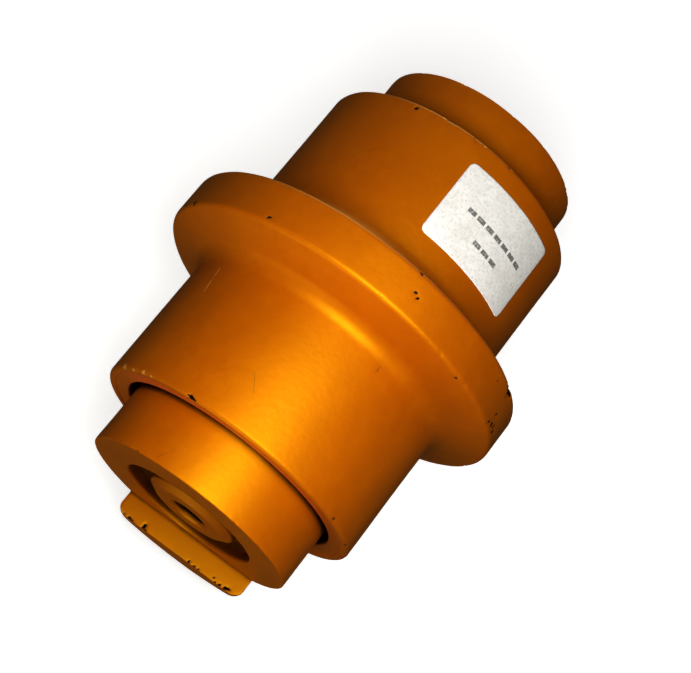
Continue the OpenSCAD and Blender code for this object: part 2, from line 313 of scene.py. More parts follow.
# ------------------------------------------------------------------ materials
class Nodes:
    """Short way to write a node tree."""

    def __init__(self, name):
        self.mat = bpy.data.materials.new(name)
        self.mat.use_nodes = True
        self.tree = self.mat.node_tree
        self.tree.nodes.clear()
        self.out = self.tree.nodes.new("ShaderNodeOutputMaterial")
        self.bsdf = self.tree.nodes.new("ShaderNodeBsdfPrincipled")
        self.tree.links.new(self.bsdf.outputs[0], self.out.inputs[0])
        self.where = self.add("ShaderNodeTexCoord").outputs["Object"]

    def add(self, kind, **props):
        n = self.tree.nodes.new(kind)
        for k, v in props.items():
            setattr(n, k, v)
        return n

    def put(self, socket, value):
        if isinstance(value, bpy.types.NodeSocket):
            self.tree.links.new(value, socket)
        else:
            socket.default_value = value

    def math(self, op, a, b=0.5, c=0.5, clamp=False):
        n = self.add("ShaderNodeMath", operation=op, use_clamp=clamp)
        for s, v in zip(n.inputs, (a, b, c)):
            self.put(s, v)
        return n.outputs[0]

    def times(self, a, b):
        return self.math("MULTIPLY", a, b)

    def ramp(self, value, lo, hi, to_lo=0.0, to_hi=1.0):
        n = self.add("ShaderNodeMapRange", interpolation_type="SMOOTHSTEP", clamp=True)
        for s, v in zip(n.inputs, (value, lo, hi, to_lo, to_hi)):
            self.put(s, v)
        return n.outputs[0]

    def noise(self, scale, detail=3.0, rough=0.5, vector=None, offset=None):
        n = self.add("ShaderNodeTexNoise")
        vec = vector or self.where
        if offset is not None:
            m = self.add("ShaderNodeVectorMath", operation="ADD")
            self.put(m.inputs[0], vec)
            m.inputs[1].default_value = offset
            vec = m.outputs[0]
        self.put(n.inputs["Vector"], vec)
        n.inputs["Scale"].default_value = scale
        n.inputs["Detail"].default_value = detail
        n.inputs["Roughness"].default_value = rough
        return n.outputs["Fac"]

    def stretch(self, scale):
        m = self.add("ShaderNodeMapping")
        self.put(m.inputs["Vector"], self.where)
        m.inputs["Scale"].default_value = scale
        return m.outputs[0]

    def mix(self, fac, a, b):
        n = self.add("ShaderNodeMix", data_type="RGBA")
        self.put(n.inputs[0], fac)
        for s, v in ((n.inputs[6], a), (n.inputs[7], b)):
            if isinstance(v, (tuple, list)) and len(v) == 3:
                v = (*v, 1.0)
            self.put(s, v)
        return n.outputs[2]

    def attr(self, name):
        return self.add("ShaderNodeAttribute", attribute_name=name).outputs["Fac"]

    def bump(self, height, distance, strength=1.0, normal=None):
        n = self.add("ShaderNodeBump")
        n.inputs["Strength"].default_value = strength
        n.inputs["Distance"].default_value = distance
        self.put(n.inputs["Height"], height)
        if normal is not None:
            self.put(n.inputs["Normal"], normal)
        return n.outputs["Normal"]

    def scratch(self, a, b, width):
        """1 on the line from a to b, given in mm, and 0 beyond its width."""
        a, b = Vector(a) * MM, Vector(b) * MM
        ab = b - a
        sub = self.add("ShaderNodeVectorMath", operation="SUBTRACT")
        self.put(sub.inputs[0], self.where)
        sub.inputs[1].default_value = a
        dot = self.add("ShaderNodeVectorMath", operation="DOT_PRODUCT")
        self.put(dot.inputs[0], sub.outputs[0])
        dot.inputs[1].default_value = ab / ab.length_squared
        t = self.math("ADD", dot.outputs["Value"], 0.0, clamp=True)
        scale = self.add("ShaderNodeVectorMath", operation="SCALE")
        scale.inputs[0].default_value = ab
        self.put(scale.inputs["Scale"], t)
        away = self.add("ShaderNodeVectorMath", operation="DISTANCE")
        self.put(away.inputs[0], sub.outputs[0])
        self.put(away.inputs[1], scale.outputs[0])
        return self.ramp(away.outputs["Value"], width * 0.3 * MM, width * MM, 1.0, 0.0)

    def finish(self, color, rough, normal=None, metallic=0.0, spec=0.5, tint=None):
        b = self.bsdf
        self.put(b.inputs["Base Color"], color if isinstance(color, bpy.types.NodeSocket) else (*color, 1.0))
        self.put(b.inputs["Roughness"], rough)
        self.put(b.inputs["Metallic"], metallic)
        b.inputs["Specular IOR Level"].default_value = spec
        if tint is not None:
            b.inputs["Specular Tint"].default_value = (*tint, 1.0)
        if normal is not None:
            self.put(b.inputs["Normal"], normal)
        return self.mat


# colours of the paint, and of what shows in it
PAINT = (0.475, 0.100, 0.0004)
PAINT_DEEP = (0.42, 0.082, 0.0003)
PAINT_PALE = (0.52, 0.122, 0.001)
PAINT_ROUGH = 0.52
PAINT_IOR = 1.95
PAINT_TINT = (1.0, 0.56, 0.01)
SMUDGE = (0.36, 0.055, 0.002)
SMEAR = (0.80, 0.40, 0.10)
PRIMER = (0.13, 0.032, 0.010)
SHADE = (0.030, 0.006, 0.003)
BAND = (0.62, 0.105, 0.025)
BARE = (0.012, 0.008, 0.007)
# label stock, its printing, and the rows of dashes: place across the label, start, end and spacing, in mm
STOCK, STOCK_DULL = (0.93, 0.905, 0.855), (0.80, 0.775, 0.715)
STOCK_FIBRE, STOCK_RUB = (0.60, 0.59, 0.54), (0.30, 0.29, 0.26)
INK = (0.035, 0.035, 0.030)
DASH_ROWS = ((1.6, -15.6, 18.0, 4.8), (-6.4, -6.4, 8.0, 4.8))


def paint(name, pale_lines=(), dark_lines=()):
    """Satin orange-yellow paint on steel, with specks, smudges, scratches, smears, chips to dark metal, and
    painted shade in hollows.
    """
    n = Nodes(name)
    tone = n.noise(26, 4, 0.55)
    mottle = n.noise(170, 4, 0.6, offset=(3.1, 0.2, 1.7))
    color = n.mix(n.ramp(tone, 0.32, 0.70), PAINT_DEEP, PAINT)
    color = n.mix(n.times(n.ramp(mottle, 0.42, 0.75), 0.30), color, PAINT_PALE)
    rub = n.noise(95, 5, 0.7, vector=n.stretch((1.0, 2.6, 1.0)), offset=(0.4, 4.0, 2.0))
    color = n.mix(n.times(n.ramp(rub, 0.58, 0.76), 0.60), color, PAINT_DEEP)
    # tiny dark specks, more of them in some places than in others
    speck = n.noise(1300, 2, 0.5, offset=(7.0, 1.0, 5.0))
    crowd = n.noise(60, 3, 0.6, offset=(1.0, 9.0, 4.0))
    specks = n.times(n.ramp(speck, 0.70, 0.76), n.ramp(crowd, 0.50, 0.66))
    color = n.mix(n.times(specks, 0.55), color, PRIMER)
    # smudges rubbed into the coat
    smudge = n.times(n.ramp(n.noise(330, 5, 0.7, offset=(6.0, 3.0, 1.0)), 0.52, 0.66),
                    n.ramp(n.noise(38, 2, 0.5, offset=(3.0, 5.0, 9.0)), 0.54, 0.68))
    color = n.mix(n.times(smudge, 0.40), color, SMUDGE)
    # the redder band of the shell's mouth, and painted shade in deep corners, recesses and holes
    color = n.mix(n.times(n.attr("band"), 0.85), color, BAND)
    shade_mask = n.times(n.attr("painted_shade"), n.ramp(n.noise(300, 4, 0.6), 0.25, 0.65, 0.80, 1.0))
    color = n.mix(shade_mask, color, SHADE)
    # scuffs and scratches
    wobble = n.noise(420, 3, 0.6)
    for a, b, width in pale_lines:
        line = n.times(n.scratch(a, b, width), n.ramp(wobble, 0.38, 0.60))
        color = n.mix(n.times(line, 0.9), color, SMEAR)
    for a, b, width in dark_lines:
        line = n.times(n.scratch(a, b, width), n.ramp(wobble, 0.30, 0.55))
        color = n.mix(n.times(line, 0.8), color, PRIMER)
    # pale smears
    rag = n.noise(900, 4, 0.65, offset=(2.0, 2.0, 8.0))
    smear = n.ramp(n.math("ADD", n.attr("smear"), n.times(rag, 0.9)), 0.92, 1.15)
    color = n.mix(n.times(smear, 0.75), color, SMEAR)
    # chips: a red-brown rim round dark metal
    edge = n.math("ADD", n.attr("bare"), n.times(rag, 0.55))
    color = n.mix(n.ramp(edge, 0.66, 0.74), color, PRIMER)
    chip = n.ramp(edge, 0.80, 0.88)
    color = n.mix(chip, color, BARE)
    # chips are bare metal; the painted shade is made metallic too, so it stays dark under the gloss
    bare_or_shaded = n.math("MAXIMUM", chip, n.times(shade_mask, 0.9))
    grain = n.noise(1500, 2, 0.5)
    peel = n.noise(420, 2, 0.5, offset=(5.0, 5.0, 0.0))
    rough = n.math("ADD", n.times(mottle, 0.10), PAINT_ROUGH - 0.05)
    rough = n.math("ADD", rough, n.times(chip, 0.25))
    normal = n.bump(peel, 0.00018, 0.5)
    normal = n.bump(grain, 0.00004, 0.5, normal)
    normal = n.bump(n.math("SUBTRACT", 1.0, chip), 0.00012, 0.6, normal)
    n.bsdf.inputs["IOR"].default_value = PAINT_IOR
    return n.finish(color, rough, normal, metallic=bare_or_shaded, spec=1.0, tint=PAINT_TINT)


def steel(name, base, rough=0.3, lines=(1.0, 30.0, 1.0)):
    """Turned or ground steel: fine tool marks, a little tarnish."""
    n = Nodes(name)
    marks = n.noise(240, 3, 0.6, vector=n.stretch(lines))
    tarnish = n.noise(60, 4, 0.6, offset=(2.0, 0.0, 6.0))
    dark = tuple(c * 0.55 for c in base)
    color = n.mix(n.ramp(tarnish, 0.35, 0.75), base, dark)
    color = n.mix(n.times(marks, 0.25), color, dark)
    r = n.math("ADD", n.times(marks, 0.22), rough)
    normal = n.bump(marks, 0.00003, 0.6)
    return n.finish(color, r, normal, metallic=1.0)


def rubber(name):
    n = Nodes(name)
    dust = n.noise(220, 4, 0.6)
    color = n.mix(n.ramp(dust, 0.4, 0.75), (0.018, 0.018, 0.019), (0.05, 0.048, 0.045))
    rough = n.math("ADD", n.times(dust, 0.2), 0.5)
    return n.finish(color, rough, n.bump(n.noise(2500, 2), 0.00003, 0.5), spec=0.4)


def paper(name):
    """Off-white label stock with rubbed grey marks and rows of plain printed dashes."""
    n = Nodes(name)
    along, across = n.attr("label_u"), n.attr("label_v")
    cloud = n.noise(110, 5, 0.65)
    fibre = n.noise(900, 4, 0.7)
    color = n.mix(n.ramp(cloud, 0.30, 0.72), STOCK, STOCK_DULL)
    color = n.mix(n.times(n.ramp(fibre, 0.46, 0.66), 0.60), color, STOCK_FIBRE)
    rub = n.times(n.ramp(n.noise(420, 5, 0.75, offset=(4.0, 1.0, 0.0)), 0.60, 0.72),
                 n.ramp(n.noise(70, 3, 0.5, offset=(0.0, 6.0, 3.0)), 0.45, 0.62))
    color = n.mix(n.times(rub, 0.75), color, STOCK_RUB)
    worn = n.ramp(n.noise(1400, 3, 0.6), 0.30, 0.50, 0.35, 1.0)
    for row, start, end, dash in DASH_ROWS:
        inside = n.times(n.ramp(along, start - 0.05, start + 0.05),
                         n.ramp(along, end - 0.05, end + 0.05, 1, 0))
        band = n.ramp(n.math("ABSOLUTE", n.math("SUBTRACT", across, row)), 0.85, 1.05, 1.0, 0.0)
        step = n.math("FRACT", n.math("DIVIDE", n.math("SUBTRACT", along, start), dash))
        ink = n.ramp(n.math("ABSOLUTE", n.math("SUBTRACT", step, 0.42)), 0.38, 0.40, 1.0, 0.0)
        ink = n.times(n.times(ink, band), n.times(inside, worn))
        color = n.mix(n.times(ink, 0.82), color, INK)
    normal = n.bump(fibre, 0.00003, 0.6)
    return n.finish(color, 0.55, normal, spec=0.35)


# ------------------------------------------------------------------ roller shell
def shell_profile():
    """Section of the shell as one closed loop of (radius, y), from corners with their rounding."""
    half = [
        (FLANGE_R, RIM_Y, RIM_EDGE),
        (TREAD_R, CONE_Y, FILLET),
        (TREAD_R, SHELL_Y, TREAD_EDGE),
        (LIP_R, SHELL_Y, 0.35),
        (LIP_R, SHELL_Y - LIP_DEPTH, 0.3),
        (MOUTH_R, SHELL_Y - LIP_DEPTH, 0.5),
        (MOUTH_R, MOUTH_Y, 0.3),
        (SEAL_R, MOUTH_Y, 0.5),
        (SEAL_R, SEAL_Y, 0.3),
        (BUSH_RIM_R, SEAL_Y, 0.0),
        (BUSH_RIM_R, BUSH_RIM_Y, 0.0),
        (BUSH_R, BUSH_RIM_Y, 0.0),
        (BUSH_R, OIL_Y, 0.0),
        (OIL_R, OIL_Y, 0.0),
    ]
    other = [(r, -y, k) for r, y, k in reversed(half)]
    return rounded(half + other, step=0.95)


# chips on the shell: angle, y, radius, size, depth, how bare
SHELL_CHIPS = (
    # near tread's end, then the far tread's
    (-15.3, -71.3, 55.6, 1.2, 0.5, 1.0), (-13.9, -71.6, 55.2, 0.9, 0.4, 0.95),
    (-16.6, -71.1, 55.8, 0.7, 0.2, 0.8),
    (-19.3, 69.2, 55.9, 1.0, 0.5, 1.0), (-5.0, 71.0, 55.6, 1.1, 0.35, 0.3), (-3.0, 71.2, 55.5, 0.9, 0.3, 0.3),
    (7.3, 70.8, 55.7, 0.9, 0.3, 0.3), (24.4, 71.0, 55.5, 0.8, 0.25, 0.6), (9.5, 71.2, 55.4, 0.7, 0.2, 0.3),
    # the rim of the flange
    (-23.7, -6.3, 75.5, 0.9, 0.25, 0.85), (21.3, 1.2, 75.5, 0.8, 0.25, 0.95),
    (22.6, 0.2, 75.5, 0.6, 0.2, 0.9),
    (69.1, 8.0, 75.2, 1.8, 0.6, 1.0), (66.5, 8.6, 75.0, 1.3, 0.5, 1.0), (71.2, 7.6, 75.2, 1.0, 0.4, 1.0),
    (71.2, -1.8, 75.5, 0.9, 0.3, 0.95), (72.6, -5.5, 75.5, 1.1, 0.3, 0.95),
    (74.5, -4.6, 75.5, 0.8, 0.25, 0.9),
    (70.0, -6.4, 75.4, 0.8, 0.2, 0.9), (76.5, -6.0, 75.4, 0.9, 0.25, 0.9),
    (47.0, -9.3, 74.0, 0.8, 0.2, 0.8), (60.0, 4.0, 75.5, 0.6, 0.15, 0.8),
    # where the photo doesn't show it
    (140.0, 3.0, 75.5, 1.6, 0.4, 1.0), (165.0, -7.4, 75.2, 1.9, 0.5, 1.0), (-120.0, 7.6, 75.2, 1.5, 0.5, 1.0),
    (-150.0, -2.0, 75.5, 1.1, 0.3, 1.0), (-168.0, 7.4, 75.2, 1.3, 0.4, 1.0),
    (112.0, -7.8, 75.1, 1.4, 0.5, 1.0), (130.0, 70.8, 55.6, 1.6, 0.5, 1.0),
    (-100.0, 70.9, 55.6, 1.3, 0.5, 1.0), (-155.0, -70.9, 55.6, 1.7, 0.5, 1.0),
    (100.0, -71.0, 55.6, 1.2, 0.4, 1.0), (-88.0, -40.0, 56.0, 0.9, 0.2, 0.9),
    (95.0, 40.0, 56.0, 0.8, 0.2, 0.9),
)
# brown smudges on the near tread: angle, y, size
SHELL_SMUDGES = ((13.5, -56.5, 2.2), (16.5, -60.0, 1.6), (32.5, -21.5, 2.2), (4.0, -62.0, 1.3))
# pale smears: angle, y, radius, size
SHELL_SMEARS = (
    (-55.5, -71.0, 56, 2.6), (-41.0, -71.5, 56, 2.4), (-48, -71.8, 55.6, 1.8), (-36, -71.8, 55.6, 1.6),
    (-39.5, -11.5, 75, 2.2), (-36.0, -10.0, 75, 1.5), (12.0, 70.9, 55.6, 1.3), (-7, 71.3, 55.6, 1.6),
)
NICKS, RIM_SHARE = 46, 0.6  # small nicks, and the share of them on the rim
RIM_NICK_R, TREAD_NICK_R = 75.0, 55.6
# where the redder band, the painted shade further in and the painted shadow line under the lip lie at the
# shell's mouth
BAND_R, MOUTH_SHADE_R, SHADOW_IN_R, SHADOW_OUT_R = 53.7, 47.3, 50.3, 52.9


def shell_spots():
    spots = [(*on_round(r, deg, y), size, depth, bare) for deg, y, r, size, depth, bare in SHELL_CHIPS]
    # small nicks scattered along the rim's two edges and the tread ends
    for _ in range(NICKS):
        side = rng.choice([-1, 1])
        if rng.random() < RIM_SHARE:
            spots.append((*on_round(RIM_NICK_R, rng.uniform(-180, 180), side * rng.uniform(7.2, 8.8)),
                          rng.uniform(0.5, 1.0), rng.uniform(0.08, 0.25), rng.uniform(0.2, 0.75)))
        else:
            spots.append((*on_round(TREAD_NICK_R, rng.uniform(-180, 180), side * rng.uniform(70.4, 71.4)),
                          rng.uniform(0.5, 0.9), rng.uniform(0.08, 0.22), rng.uniform(0.2, 0.7)))
    return spots + [(*on_round(TREAD_R, deg, y), size, 0.03, 0.40) for deg, y, size in SHELL_SMUDGES]


def build_shell():
    pts, faces = turned(shell_profile(), 600)
    mesh = make_mesh("track_shell", pts, faces)
    weld(mesh)
    co, nor = coords(mesh), vertex_normals(mesh)
    rad = np.hypot(co[:, 0], co[:, 2])
    outside = smooth01((rad - 50) / 3)
    shape = 0.07 * waves(co, 11, 60) + 0.035 * waves(co, 12, 22)
    # no point of the rim or the end faces may pass the CAD box
    co -= nor * ((0.10 + np.clip(shape, -0.1, 0.1)) * outside)[:, None]
    set_coords(mesh, co)
    dent(mesh, shell_spots(), 21)
    co = coords(mesh)
    smear = np.zeros(len(co))
    for deg, y, r, size in SHELL_SMEARS:
        d = np.linalg.norm(co - np.array(on_round(r, deg, y)), axis=1)
        smear = np.maximum(smear, smooth01(1.2 - d / size) * 0.75)
    attribute(mesh, "smear", smear)
    # the redder band at the mouth, painted shade further in, and a painted shadow line under the lip in the
    # near mouth's upper right
    rad = np.hypot(co[:, 0], co[:, 2])
    ang = np.degrees(np.arctan2(co[:, 0], co[:, 2]))
    depth_in = SHELL_Y - np.abs(co[:, 1])
    band = smooth01((BAND_R - rad) / 0.7)
    attribute(mesh, "band", band * (1 - 0.8 * smooth01((np.abs(ang) - 52) / 20)))
    inside = smooth01((MOUTH_SHADE_R - rad) / 0.4) * smooth01((depth_in - 0.8) / 1.5)
    arc = smooth01((ang - 8) / 16) * smooth01((66 - ang) / 16) * (co[:, 1] < 0)
    line = smooth01((rad - SHADOW_IN_R) / 0.5) * smooth01((SHADOW_OUT_R - rad) / 0.4) * (depth_in > 0.1) * arc
    attribute(mesh, "painted_shade", np.clip(inside + 0.96 * line, 0, 1))
    obj = add_object("track_shell", mesh)
    obj.data.materials.append(paint(
        "shell_paint",
        pale_lines=[(on_round(56, -44.5, -33), on_round(56, -46.5, -22), 0.50),
                    (on_round(56, -43.2, -37), on_round(56, -43.8, -34), 0.42),
                    (on_round(75.2, -39.8, -12), on_round(74.5, -37.5, -8.6), 0.5)],
        dark_lines=[(on_round(56, -2.5, -51), on_round(56, 2.5, -58), 0.22),
                    (on_round(56, -27.0, 42), on_round(56, -21.0, 47), 0.16)],
    ))
    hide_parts("roller_shell")
    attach(obj, "roller")
    return obj


# ------------------------------------------------------------------ end collars
def tab_end(x):
    """Distance along the axis that the tab reaches at that x, with its corners rounded in plan."""
    over = np.clip(np.abs(x) - (TAB_HALF_W - TAB_CORNER), 0, TAB_CORNER)
    return TAB_Y - TAB_CORNER + np.sqrt(np.maximum(TAB_CORNER ** 2 - over ** 2, 0))


def graded(n):
    """n values from above 0 to 1, closer together near the ends."""
    return (1 - np.cos(math.pi * np.linspace(0, 1, n + 1)[1:])) / 2


def collar_points():
    """Columns of points round the axis. The tab's columns pass the face; the others fold up there."""
    tab_cols = np.linspace(-TAB_ANGLE, TAB_ANGLE, 101)
    rest = np.linspace(TAB_ANGLE, 2 * math.pi - TAB_ANGLE, 261)
    columns = []
    for phi, tab in [(p, True) for p in tab_cols] + [(p, False) for p in rest]:
        rows = [(SHAFT_R, SLEEVE_Y), (SLEEVE_R, SLEEVE_Y), (SLEEVE_R, POCKET_Y), (POCKET_R, POCKET_Y),
                (POCKET_R, SKIRT_Y), (SKIRT_FLAT_R, SKIRT_Y)]
        side_y = SKIRT_Y + SKIRT_RUN
        edge = rounded([(SKIRT_FLAT_R, SKIRT_Y, 0), (COLLAR_R, SKIRT_Y, SKIRT_EDGE), (COLLAR_R, side_y, 0)],
                       closed=False, step=0.6)
        rows += [tuple(p) for p in edge[1:]]
        rows += [(COLLAR_R, side_y + (FACE_Y - 0.6 - side_y) * s) for s in np.linspace(0, 1, 27)[1:]]
        rows.append((COLLAR_R, FACE_Y))
        if tab:
            flat_r = TAB_DROP / math.cos(phi)
            end_out = float(tab_end(COLLAR_R * math.sin(phi)))
            end_in = float(tab_end(flat_r * math.sin(phi)))
        else:
            flat_r, end_out, end_in = COLLAR_R, FACE_Y, FACE_Y
        rows += [(COLLAR_R, FACE_Y + (end_out - FACE_Y) * s) for s in graded(16)]
        for s in graded(18):
            r = COLLAR_R + (flat_r - COLLAR_R) * s
            rows.append((r, float(tab_end(r * math.sin(phi))) if tab else FACE_Y))
        rows += [(flat_r, end_in + (FACE_Y - end_in) * s) for s in graded(16)]
        rows += [(flat_r + (RECESS_R - flat_r) * s, FACE_Y) for s in graded(24)]
        rows += [(RECESS_R, FACE_Y - RECESS_DEPTH * s) for s in graded(8)]
        rows += [(RECESS_R + (SHAFT_R - RECESS_R) * s, FACE_Y - RECESS_DEPTH) for s in graded(10)]
        columns.append((phi, rows))
    return columns, len(tab_cols)


def bore_across(mesh, radius, y, z):
    """The mesh with a plain round hole along X cut through it."""
    n = PIN_SIDES
    turn = np.arange(n) * 2 * math.pi / n
    ring = np.stack([np.zeros(n), y + radius * np.cos(turn), z + radius * np.sin(turn)], -1)
    reach = COLLAR_R + 4
    pts = np.concatenate([ring + (x, 0, 0) for x in (-reach, reach)] + [[(-reach, y, z), (reach, y, z)]])
    faces = [(i, (i + 1) % n, n + i) for i in range(n)]
    faces += [((i + 1) % n, n + (i + 1) % n, n + i) for i in range(n)]
    faces += [(2 * n, (i + 1) % n, i) for i in range(n)]
    faces += [(2 * n + 1, n + i, n + (i + 1) % n) for i in range(n)]
    tool_mesh = make_mesh("pin_hole_tool", pts, faces)
    face_outward(tool_mesh)
    tool = bpy.data.objects.new("pin_hole_tool", tool_mesh)
    body = bpy.data.objects.new("pin_hole_body", mesh)
    for thing in (tool, body):
        bpy.context.scene.collection.objects.link(thing)
    cut = body.modifiers.new("hole", "BOOLEAN")
    cut.operation = "DIFFERENCE"
    cut.solver = "EXACT"
    cut.object = tool
    graph = bpy.context.evaluated_depsgraph_get()
    result = bpy.data.meshes.new_from_object(body.evaluated_get(graph))
    for thing in (tool, body):
        bpy.data.objects.remove(thing)
    bpy.data.meshes.remove(tool_mesh)
    result.name = mesh.name + "_bored"
    result.polygons.foreach_set("use_smooth", np.ones(len(result.polygons), bool))
    result.set_sharp_from_angle(angle=math.radians(50))
    return result


# chips on the tabs: x, how far along +Y and up from the flat's outer edge, size, depth, how bare
TAB_CHIPS = {
    "near": (
        (-23.2, 0.1, 0, 0.9, 0.4, 1.0), (-21.8, 0.0, -0.5, 0.8, 0.3, 0.95), (-25.6, 0.4, 0, 0.7, 0.3, 0.9),
        (-16.5, 0.4, 0, 0.9, 0.5, 1.0), (-16.2, 1.2, 0, 0.5, 0.3, 0.95), (-15.2, 0.1, -0.4, 0.7, 0.25, 0.9),
        (8.2, 0.1, 0, 0.8, 0.3, 0.9), (10.4, 0.4, 0, 0.6, 0.25, 0.85), (6.0, 0.0, -0.3, 0.6, 0.2, 0.8),
        (18.6, 0.2, 0, 0.8, 0.3, 0.95), (20.6, 0.1, 0, 0.9, 0.4, 1.0), (23.0, 0.5, 0, 0.8, 0.3, 0.95),
        (25.0, 1.2, 0, 0.7, 0.25, 0.9), (17.0, 1.1, 0, 0.5, 0.15, 0.8), (1.0, 0.1, -0.3, 0.5, 0.15, 0.7),
        (14.0, 12.6, 0, 1.0, 0.1, 0.45),
    ),
    "far": (
        (-12.0, 0, 0, 1.4, 0.5, 1.0), (-9.5, 0, 0, 1.0, 0.4, 1.0), (15.0, 0, 0, 1.6, 0.6, 1.0),
        (22.0, 0, 0, 0.9, 0.3, 1.0),
    ),
}
COLLAR_NICKS = 14


def build_collar(end):
    sign = -1 if end == "near" else 1
    columns, n_tab = collar_points()
    n_rows, n_cols = len(columns[0][1]), len(columns)
    pts = np.zeros((n_rows, n_cols, 3))
    for c, (phi, rows) in enumerate(columns):
        r = np.array(rows)
        pts[:, c, 0] = r[:, 0] * math.sin(phi)
        pts[:, c, 1] = sign * r[:, 1]
        pts[:, c, 2] = -r[:, 0] * math.cos(phi)
    faces = grid_faces(n_rows, n_cols, close_rows=True).reshape(n_rows, n_cols, 4)
    keep = np.ones(n_cols, bool)
    keep[[n_tab - 1, n_cols - 1]] = False  # the doubled columns at the tab's two side edges
    faces = faces[:, keep].reshape(-1, 4)
    mesh = make_mesh("end_collar_" + end, pts.reshape(-1, 3), faces)
    weld(mesh)
    soften_edges(mesh, reach=1.5, rounds=7)
    co, nor = coords(mesh), vertex_normals(mesh)
    rad = np.hypot(co[:, 0], co[:, 2])
    shape = 0.05 * waves(co, 31 + sign, 40) + 0.02 * waves(co, 33 + sign, 14)
    co -= nor * ((0.06 + np.clip(shape, -0.06, 0.06)) * smooth01((rad - 20) / 3))[:, None]
    set_coords(mesh, co)
    tip = sign * (TAB_Y - 0.2)
    spots = [(x, tip + dy, -TAB_DROP + dz, *look) for x, dy, dz, *look in TAB_CHIPS[end]]
    local = np.random.default_rng(41 + sign)
    for _ in range(COLLAR_NICKS):
        spots.append((*on_round(COLLAR_R - 0.2, local.uniform(-125, 125), sign * (FACE_Y - 0.3)),
                      local.uniform(0.5, 0.9), local.uniform(0.05, 0.2), local.uniform(0.2, 0.65)))
    dent(mesh, spots, 51 + sign)
    mesh = bore_across(mesh, PIN_R, sign * PIN_Y, -SHAFT_R)
    co = coords(mesh)
    rad = np.hypot(co[:, 0], co[:, 2])
    out = sign * co[:, 1]
    hole_shade = (smooth01((PIN_R + 0.4 - np.hypot(out - PIN_Y, co[:, 2] + SHAFT_R)) / 0.3)
               * smooth01((COLLAR_R - 0.3 - rad) / 0.6))
    # painted shade in the corner of face and tab, in the recess and pin hole, and on the part inside the
    # shell's mouth
    corner = smooth01(1 - np.abs(co[:, 2] + TAB_DROP) / 1.3) * smooth01(1 - np.abs(out - FACE_Y) / 1.6)
    recess = smooth01((RECESS_R + 0.4 - rad) / 0.5) * smooth01((FACE_Y - 0.5 - out) / 1.2)
    inside = smooth01((SHELL_Y - 0.2 - out) / 1.2)
    attribute(mesh, "painted_shade", np.clip(corner * 0.75 + recess * 0.88 + inside + 0.8 * hole_shade, 0, 1))
    for name in ("band", "smear"):
        attribute(mesh, name, np.zeros(len(co)))
    obj = add_object("end_collar_" + end, mesh)
    dark = [(on_round(44, -17.6, -92.7), on_round(44, -14.2, -88.5), 0.22),
            (on_round(44, -14.0, -88.2), on_round(44, -12.6, -86.5), 0.16)]
    obj.data.materials.append(paint("collar_paint_" + end, dark_lines=dark if end == "near" else ()))
    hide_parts("collar_" + end)
    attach(obj, "shaft_assembly")
    return obj


# ------------------------------------------------------------------ shaft with its tapped ends
def build_shaft():
    """One turned bar: painted ends with a chamfer, and a screw thread down each end hole."""
    cols = 160
    t = np.arange(cols) * 2 * math.pi / cols

    def ring(radius, y, screw=False):
        rr = np.full(cols, float(radius))
        if screw:
            turn = (FACE_Y - abs(y)) / THREAD_PITCH + math.copysign(1, y) * t / (2 * math.pi)
            wave = np.abs((turn % 1.0) * 2 - 1)
            fade = smooth01((FACE_Y - abs(y) - 1.0) / 1.0) * smooth01((THREAD_END - (FACE_Y - abs(y))) / 2.0)
            rr = rr + (THREAD_MAJOR - THREAD_MINOR) * np.clip(wave * 1.25 - 0.12, 0, 1) * fade
        return np.stack([rr * np.sin(t), np.full(cols, float(y)), rr * np.cos(t)], -1)

    def half(sign):
        """Rings from the bottom of the end hole, out round the end face and back along the outside."""
        rings = [ring(radius, sign * (FACE_Y - HOLE_DEPTH)) for radius in (0.001, HOLE_TIP_R, THREAD_MINOR)]
        run = HOLE_DEPTH - SINK_DEPTH
        steps = int(run / THREAD_PITCH * THREAD_STEPS)
        rings += [ring(THREAD_MINOR, sign * (FACE_Y - HOLE_DEPTH + run * k / steps), screw=True)
                  for k in range(1, steps + 1)]
        edge = rounded([(THREAD_MINOR, FACE_Y - SINK_DEPTH, 0), (SINK_R, FACE_Y, 0.3),
                        (SHAFT_R - CHAMFER_IN, FACE_Y, CHAMFER_EDGE),
                        (SHAFT_R, FACE_Y - CHAMFER_DEEP, CHAMFER_EDGE),
                        (SHAFT_R, FACE_Y - PLAIN_FROM, 0)], closed=False, step=0.8)
        return rings + [ring(r, sign * y) for r, y in edge[1:]]

    middle = [ring(SHAFT_R, y) for y in np.linspace(FACE_Y - PLAIN_FROM, -(FACE_Y - PLAIN_FROM), 60)[1:-1]]
    every = half(1) + middle + half(-1)[::-1]
    pts = np.concatenate(every)
    mesh = make_mesh("shaft_bar", pts, grid_faces(len(every), cols))
    weld(mesh, dist=4e-6)
    co = coords(mesh)
    rad = np.hypot(co[:, 0], co[:, 2])
    deep = FACE_Y - np.abs(co[:, 1])
    dent(mesh, [(*on_round(13.0, 40, -FACE_Y), 0.8, 0.1, 0.4)], 61)
    # painted shade down the end hole and round the shaft deep in the collar's recess
    hole_shade = smooth01((8.2 - rad) / 0.4) * smooth01((deep - 0.8) / 1.0)
    recess_shade = smooth01((rad - 18.4) / 0.5) * smooth01((deep - 2.6) / 1.4) * 0.9
    attribute(mesh, "painted_shade", np.clip(hole_shade + recess_shade, 0, 1))
    for name in ("band", "smear"):
        attribute(mesh, name, np.zeros(len(co)))
    obj = add_object("shaft_bar", mesh)
    obj.data.materials.append(paint("shaft_end_paint"))
    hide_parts("shaft")
    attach(obj, "shaft_assembly")
    return obj


